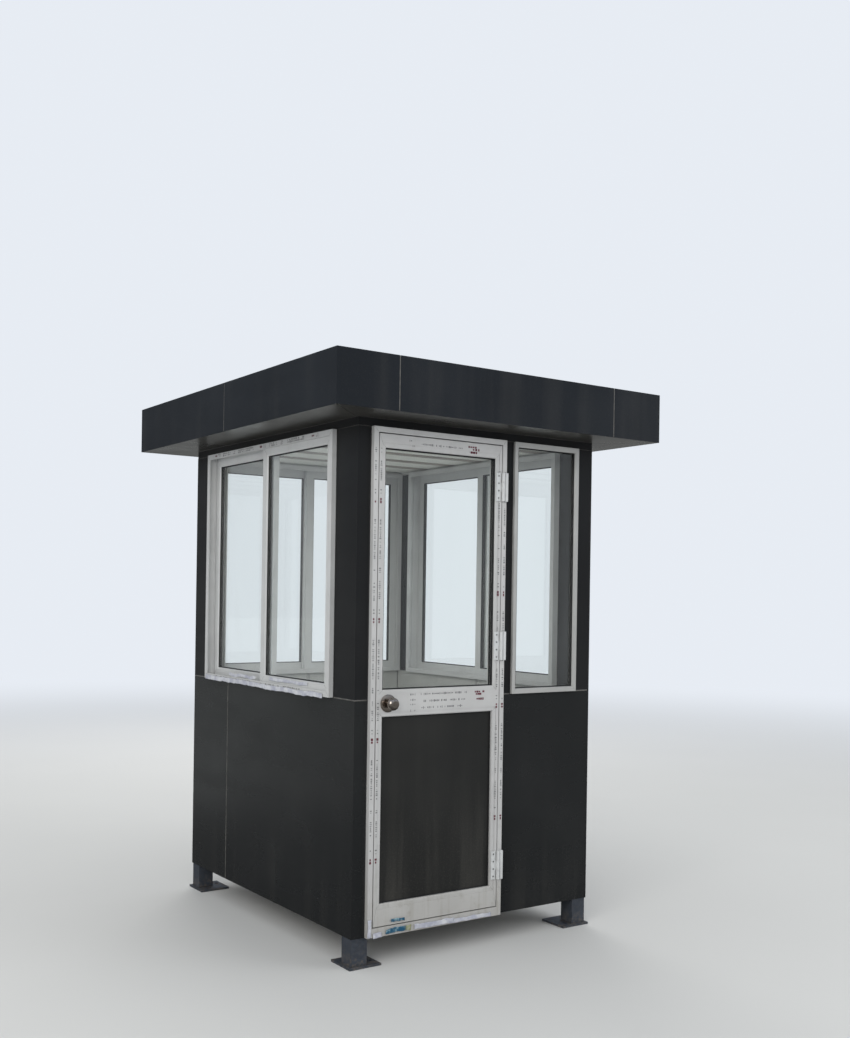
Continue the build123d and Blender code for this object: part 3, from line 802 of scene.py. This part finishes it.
def sheet(wall, alongs, ups, out, look, finish, seed):
    (a, b), (c, d) = alongs, ups
    side, outward = walls[wall]
    return shaded(grow(linesToMesh("sheet", []), scrapTree, {
        **look, "width": b - a, "height": d - c, "columns": max(fewestColumns, int((b - a) / columnWidth)),
        "middle": tuple(spot(wall, (a + b) / 2, out + sheetGap, (c + d) / 2)),
        "side": tuple(side), "out": tuple(outward), "seed": seed, "material": finishes[finish]}))


scrapLook = {"buckle": 0.010, "ragged": 0.026, "fine": 30.0}
filmLook = {"buckle": 0.008, "ragged": 0.022, "fine": 11.0}
footLook = {"buckle": 0.007, "ragged": 0.020, "fine": 24.0}
ups = (wallBottom + 0.009, wallBottom + 0.031)
scrap = sheet("front", (-0.515, -0.385), ups, leafOut[1], scrapLook, "scrap", 4.0)
piece("threshold_scrap", [scrap], "booth")
ups = (leafUp[0] + 0.010, leafUp[0] + 0.024)
scrap = sheet("front", (-0.490, -0.420), ups, leafOut[1], scrapLook, "scrap", 9.0)
piece("door_scrap", [scrap], "door")
railUp, railOut = frameSpans["left"][2][0], frameSpans["left"][1][1]
sashOut = max(onWall("left", box)[1][1] for box in solidBoxes("left_window_sashes"))
# wall, range along it, level, range above the level, how far out, look and seed
looseSheets = [
    ("left", (-0.64, 0.02), railUp, (-0.004, 0.018), railOut, filmLook, 2.0),
    ("left", (0.00, 0.61), railUp, (-0.007, 0.014), railOut, filmLook, 5.0),
    ("left", (-0.36, -0.06), railUp, (0.030, 0.046), railOut - 0.006, filmLook, 6.0),
    ("left", (0.08, 0.46), railUp, (0.036, 0.052), sashOut, filmLook, 7.0),
    ("front", (-0.608, -0.590), wallBottom, (0.002, 0.080), doorOut[1], footLook, 3.0),
    ("front", (-0.58, -0.535), wallBottom, (-0.002, 0.020), doorOut[1], footLook, 12.0),
    ("front", (-0.365, -0.15), wallBottom, (0.006, 0.028), doorOut[1], footLook, 8.0),
    ("front", (-0.19, 0.06), wallBottom, (0.004, 0.022), doorOut[1], footLook, 10.0),
]
loose = [sheet(wall, alongs, (base + low, base + high), out, look, "looseFilm", seed)
         for wall, alongs, base, (low, high), out, look, seed in looseSheets]
piece("loose_film", loose, "booth")

# hinge screws and the knob's key slots
headProfile = [(0.0042, 0.0), (0.0041, 0.0005), (0.0030, 0.0013), (0.0012, 0.0016)]
screwHead = turnedShape("screwHead", headProfile, 14)
bar, thin, crossUp = (-0.0023, 0.0023), (-0.00045, 0.00045), (0.0008, 0.00175)
screwCross = boxShape("screwCross", [(bar, thin, crossUp), (thin, bar, crossUp)])
screwLook = {"spacing": 0.034, "spin": 3.1, "shortest": 1.0}
plateLook = {"width": 0.026, "thick": 0.004, "lowScrew": 0.014, "highScrew": 0.0135}


def hingeScrews(name, plate):
    lines = []
    for box in solidBoxes(name):
        alongs, ups = onWall("front", box)[::2]
        middle = alongs[0] + plate["width"] / 2
        lines.append([(middle, ups[0] + plate["lowScrew"]), (middle, ups[1] - plate["highScrew"])])
    return [wallRow("front", lines, leafOut[1] + plate["thick"], shape, screwLook, finish, 3)
            for shape, finish in ((screwHead, "zinc"), (screwCross, "rubber"))]


def hingeCovers(look):  # rounded caps clipped over the frame plates
    caps = []
    for low, high in solidBoxes("hinge_frame_halves"):
        cap = bmesh.new()
        inner, proud = high.x - look["width"], -look["proud"]
        outline = [(inner, 0.0), (inner, proud), (high.x, proud), (high.x, 0.0)]
        base, top = [[cap.verts.new((x, y - leafOut[1], height)) for x, y in outline]
                     for height in (low.z - look["over"], high.z + look["over"])]
        cap.faces.new(base)
        cap.faces.new(top[::-1])
        for i in range(4):
            j = (i + 1) % 4
            cap.faces.new((base[j], base[i], top[i], top[j]))
        outer = [e for e in cap.edges if max(v.co.y for v in e.verts) < -leafOut[1] - 0.001]
        bmesh.ops.bevel(cap, geom=outer, offset=look["round"], segments=4, affect="EDGES", profile=0.5)
        bmesh.ops.recalc_face_normals(cap, faces=cap.faces)
        caps.append(shaded(built("cap", cap)))
        caps[-1].data.materials.append(finishes["hinge"])
    return caps


coverLook = {"width": 0.0160, "proud": 0.0150, "over": 0.0015, "round": 0.0045}
piece("hinge_leaf_screws", hingeScrews("hinge_leaf_halves", plateLook), "door")
piece("hinge_covers", hingeCovers(coverLook), "booth")

knobLow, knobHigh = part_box("door_knobs")
knobX, knobZ = (knobLow.x + knobHigh.x) / 2, (knobLow.z + knobHigh.z) / 2
keySlot = boxShape("keySlot", [((-0.0006, 0.0006), (-0.0036, 0.0036), (-0.0005, 0.00015))])
slotLook = {"spacing": 0.5, "spin": 0.0, "shortest": 1.0}
shortLine = 0.01  # shorter than the spacing, so that one slot stands at its start
slots = []
for wall, out, along in (("front", -knobLow.y, knobX), ("back", knobHigh.y, -knobX)):
    line = [(along, knobZ), (along + shortLine, knobZ)]
    slots.append(wallRow(wall, [line], out, keySlot, slotLook, "rubber"))
ringLook = {"halfWidth": 0.0006, "flat": 0.5, "wobble": 0.0, "step": 0.002, "radius": 0.0105, "sunk": 0.001}
turns = [i * math.pi / 18 for i in range(37)]
line = [(knobX + ringLook["radius"] * math.cos(turn), knobZ + ringLook["radius"] * math.sin(turn))
        for turn in turns]
slots.append(wallBead("front", [line], -knobLow.y - ringLook["sunk"], ringLook, "rubber"))
piece("knob_key_slots", slots, "knob")

# weld beads where the legs stand on their plates
legWeldLook = {"halfWidth": 0.0042, "flat": 0.8, "wobble": 0.0022, "step": 0.006}
legWelds = []
plateTop, plateRim, tubeWidth = 0.010, 0.014, 0.080


def tubeSides(low, high):  # the tube stands near the outer edge of its plate
    way = math.copysign(1, low + high)
    outer = (high if way > 0 else low) - way * plateRim
    return sorted((outer, outer - way * tubeWidth))


for name in ("leg_front_left", "leg_front_right", "leg_back_left", "leg_back_right"):
    low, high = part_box(name)
    xs, ys = tubeSides(low.x, high.x), tubeSides(low.y, high.y)
    ring = [Vector((xs[i], ys[j], plateTop)) for i, j in ((0, 0), (1, 0), (1, 1), (0, 1), (0, 0))]
    legWelds.append(bead([ring], up, plateTop, legWeldLook, "weld", 2.0))
piece("leg_welds", legWelds, "booth")

# roof deck: lap joints and washered screws
deckLow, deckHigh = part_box("roof_deck")
deckUp = deckHigh.z
lapLook = {"halfWidth": 0.016, "flat": 0.22, "wobble": 0.0004, "step": 0.08, "margin": 0.045,
           "places": (-0.46, 0.0, 0.46)}
deckScrewLook = {"spacing": 0.235, "spin": 6.2, "shortest": 1.0, "margin": 0.09,
                 "places": (-0.86, -0.50, -0.42, -0.04, 0.04, 0.42, 0.50, 0.86)}


def deckLines(look):
    ends = (deckLow.y + look["margin"], deckHigh.y - look["margin"])
    return [[Vector((x, y, deckUp)) for y in ends] for x in look["places"]]


laps = bead(deckLines(lapLook), up, deckUp, lapLook, "lap", 2.0)
piece("deck_laps", [laps], "booth")
washer = turnedShape("washer", [(0.0085, 0.0), (0.0080, 0.0016), (0.0060, 0.0022)], 14)
hexHead = turnedShape("hexHead", [(0.0045, 0.0020), (0.0045, 0.0060), (0.0038, 0.0066)], 6)
deckScrews = [row(deckLines(deckScrewLook), up, shape, deckScrewLook, finish, 6)
              for shape, finish in ((washer, "rubber"), (hexHead, "zinc"))]
piece("deck_screws", deckScrews, "booth")

# inside: ceiling joints, a cornice, skirting and joint strips of the lining
ceilingLow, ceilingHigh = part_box("ceiling")
down = Vector((0, 0, -1))
battenLook = {"halfWidth": 0.042, "flat": 0.09, "wobble": 0.0, "step": 0.3, "bays": 6, "margin": 0.01}
corniceLook = {"halfWidth": 0.016, "flat": 0.7, "wobble": 0.0, "step": 0.3,
               "margin": 0.004, "drop": 0.001, "inset": 0.002}
skirtingLook = {"halfWidth": 0.030, "flat": 0.22, "wobble": 0.0, "step": 0.3, "margin": 0.03, "lift": 0.031}
stripLook = {"halfWidth": 0.012, "flat": 0.2, "wobble": 0.0, "step": 0.3,
             "lift": 0.062, "drop": 0.002, "widest": 1.0}  # the widest lining without a joint
pitch = (ceilingHigh.y - ceilingLow.y) / battenLook["bays"]
ends = (ceilingLow.x + battenLook["margin"], ceilingHigh.x - battenLook["margin"])
lines = [[Vector((x, ceilingLow.y + pitch * i, ceilingLow.z)) for x in ends]
         for i in range(1, battenLook["bays"])]
inside = [bead(lines, down, -ceilingLow.z, battenLook, "batten", 2.0)]
corniceUp = ceilingLow.z - corniceLook["drop"]
for wall in walls:
    reach, half = ceilingHigh.x, ceilingHigh.y
    if wall in ("front", "back"):
        reach, half = half, reach
    half -= corniceLook["margin"]
    lines = [[(-half, corniceUp), (half, corniceUp)]]
    inside.append(wallBead(wall, lines, reach - corniceLook["inset"], corniceLook, "trim"))
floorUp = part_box("floor_board")[1].z
for box in solidBoxes("wall_linings"):
    low, high = box
    if high.x - low.x < high.y - low.y:
        wall = "left" if low.x < 0 else "right"
    else:
        wall = "front" if low.y < 0 else "back"
    alongs, outs, ups = onWall(wall, box)
    margin, height = skirtingLook["margin"], floorUp + skirtingLook["lift"]
    lines = [[(alongs[0] + margin, height), (alongs[1] - margin, height)]]
    inside.append(wallBead(wall, lines, outs[0], skirtingLook, "skirting"))
    if alongs[1] - alongs[0] > stripLook["widest"]:
        middle = (alongs[0] + alongs[1]) / 2
        lines = [[(middle, floorUp + stripLook["lift"]), (middle, ups[1] - stripLook["drop"])]]
        inside.append(wallBead(wall, lines, outs[0], stripLook, "skirting"))
piece("inside_trims", inside, "booth")

for shape in shapes:
    bpy.data.objects.remove(shape)


# camera, at the place and angle of the photograph

shot = {"spot": (-3.2609, -5.0942, 1.6151), "turn": -34.694, "roll": 0.848, "focal": 1160.3,
        "centre": 594.5, "size": (850, 1038)}


def makeCamera(look):
    data = bpy.data.cameras.new("camera")
    camera = linked("camera", data)
    turn, roll = math.radians(look["turn"]), math.radians(look["roll"])
    ahead = Vector((-math.sin(turn), math.cos(turn), 0))
    right = ahead.cross(up)
    above = right.cross(ahead)
    axes = (right * math.cos(roll) + above * math.sin(roll),
            above * math.cos(roll) - right * math.sin(roll), -ahead)
    turned = Matrix(axes).transposed().to_4x4()
    camera.matrix_world = Matrix.Translation(look["spot"]) @ turned
    height = look["size"][1]
    data.sensor_fit = "AUTO"
    data.sensor_width = 36.0
    data.lens = look["focal"] * data.sensor_width / height
    data.shift_y = (look["centre"] - height / 2) / height
    data.clip_start, data.clip_end = 0.05, 200.0
    data.dof.use_dof = False
    scene.camera = camera


makeCamera(shot)


# studio: pale floor that fades into a pale backdrop, soft lamps

# the last three colours glow on the ground for mirrored rays only, a painted reflection: far off, close by as
# painted shade, and a pale patch to the rear left as a painted highlight on the lower walls
studio = {"floor": (0.66, 0.66, 0.65), "reach": 60.0, "back": (0.80, 0.84, 0.90), "ambient": 0.82,
          "low": (0.27, 0.275, 0.275), "near": (0.03, 0.032, 0.036), "pale": (0.42, 0.445, 0.44)}


def studioFloor(board, look):
    place = board.place()
    distance = board.vector("LENGTH", place, (0, 0, 0), "Value")
    fade = distance.smooth(3.5, 16.0)
    cloud = board.noise(0.8, 3, 0.5)
    tone = board.mix(cloud, look["floor"], tuple(c * 0.96 for c in look["floor"]))
    matt = board.surface({"Base Color": tone, "Roughness": 0.75, "Specular IOR Level": 0.2})
    seen = board.blend(fade, matt, board.light(look["back"]))
    # painted reflection: the ground that mirrored rays see glows, dark close by as painted shade, with a pale
    # patch as a painted highlight
    paintedReflection = board.mix(distance.smooth(1.3, 4.6), look["near"], look["low"])
    x, y = board.split(board.scaled(place, 1.0 / distance))[:2]
    pale = x.smooth(-0.60, -0.54) * x.smooth(-0.47, -0.40, 1.0, 0.25) * y.smooth(0.6, 0.75)
    paintedReflection = board.mix(pale * distance.smooth(2.6, 5.5), paintedReflection, look["pale"])
    # mirrored rays from outside the glass see this glowing painted ground instead of the lit floor
    glossy = board.add("ShaderNodeLightPath", out="Is Glossy Ray")
    outside = 1.0 - board.other(glossy, "Is Transmission Ray")
    mirrored = glossy * outside * distance.smooth(1.2, 3.5, 0.85, 1.0)
    return board.blend(mirrored, seen, board.light(paintedReflection))


def makeFloor(look):
    mesh = bpy.data.meshes.new("studio_floor")
    corners = [(x * look["reach"], y * look["reach"], 0) for x, y in ((-1, -1), (1, -1), (1, 1), (-1, 1))]
    mesh.from_pydata(corners, [], [(0, 1, 2, 3)])
    mesh.materials.append(newMaterial("studioFloor", studioFloor, look))
    linked("studio_floor", mesh)


def makeWorld(look):
    world = bpy.data.worlds.new("studio")
    world.use_nodes = True
    scene.world = world
    board = Board(world.node_tree)
    rays = board.add("ShaderNodeLightPath", out="Is Camera Ray")
    seen = board.maths("MAXIMUM", rays, board.other(rays, "Is Transmission Ray"))
    glossy = board.other(rays, "Is Glossy Ray")
    way = board.add("ShaderNodeTexCoord", out="Generated")
    y, height = board.split(way)[1:]
    dome = board.mix(height.smooth(-0.2, 0.9), (0.62, 0.64, 0.66), (0.95, 0.98, 1.0))
    puffs = board.add("ShaderNodeTexNoise", {"Vector": way, "Scale": 2.6, "Detail": 3.0, "Roughness": 0.5})
    sky = board.mix(puffs.smooth(0.38, 0.66), (0.34, 0.43, 0.56), (0.78, 0.85, 0.96))
    screen = (height + (puffs - 0.5) * height).smooth(0.01, 0.34)  # reflections darken towards the ground
    mirrored = board.mix(screen, tuple(c / look["ambient"] for c in look["low"]), sky)
    behind = y.smooth(0.84, 0.95, 0.0, 0.85)  # the mirrored sky is darker to the rear
    mirrored = board.mix(behind, mirrored, look["near"])
    light = board.mix(glossy, dome, mirrored)
    colour = board.mix(seen, light, look["back"])
    strength = seen * (1.0 - look["ambient"]) + look["ambient"]
    background = board.add("ShaderNodeBackground", {"Color": colour, "Strength": strength})
    board.add("ShaderNodeOutputWorld", {"Surface": background})


makeFloor(studio)
makeWorld(studio)


def newLamp(name, kind, look):
    data = bpy.data.lights.new(name, kind)
    data.energy = look["power"]
    data.color = look["colour"]
    lamp = linked(name, data)
    lamp.location = look["spot"]
    lamp.visible_transmission = False
    return data, lamp


def softLamp(name, look):
    data, lamp = newLamp(name, "AREA", look)
    data.shape = "RECTANGLE"
    data.size, data.size_y = look["size"]
    lamp.visible_glossy = look["mirrored"]
    way = Vector(look["aim"]) - Vector(look["spot"])
    lamp.rotation_euler = way.to_track_quat("-Z", "Y").to_euler()


lamps = {
    "keyLamp": {"spot": (-6.5, -5.0, 4.4), "aim": (0, 0, 1.2), "size": (5, 4), "power": 260,
                "colour": (1.0, 0.98, 0.95), "mirrored": True},
    "fillLamp": {"spot": (5.0, -6.5, 3.2), "aim": (0, 0, 1.2), "size": (4, 4), "power": 130,
                 "colour": (0.95, 0.97, 1.0), "mirrored": False},
    "backLamp": {"spot": (3.0, 7.0, 6.0), "aim": (0, 0, 1.5), "size": (5, 4), "power": 240,
                 "colour": (1.0, 0.98, 0.95), "mirrored": False},
}
for name, look in lamps.items():
    softLamp(name, look)


def glowLamp(name, look):  # daylight from the inside, hidden from camera and mirrored rays
    data, lamp = newLamp(name, "POINT", look)
    data.shadow_soft_size = look["radius"]
    lamp.visible_camera = lamp.visible_glossy = False


glowLamp("roomGlow", {"spot": (0.0, 0.0, 1.45), "radius": 0.30, "power": 4.0, "colour": (1.0, 1.0, 0.98)})
scene.view_settings.view_transform = "Standard"
print("studio lit")
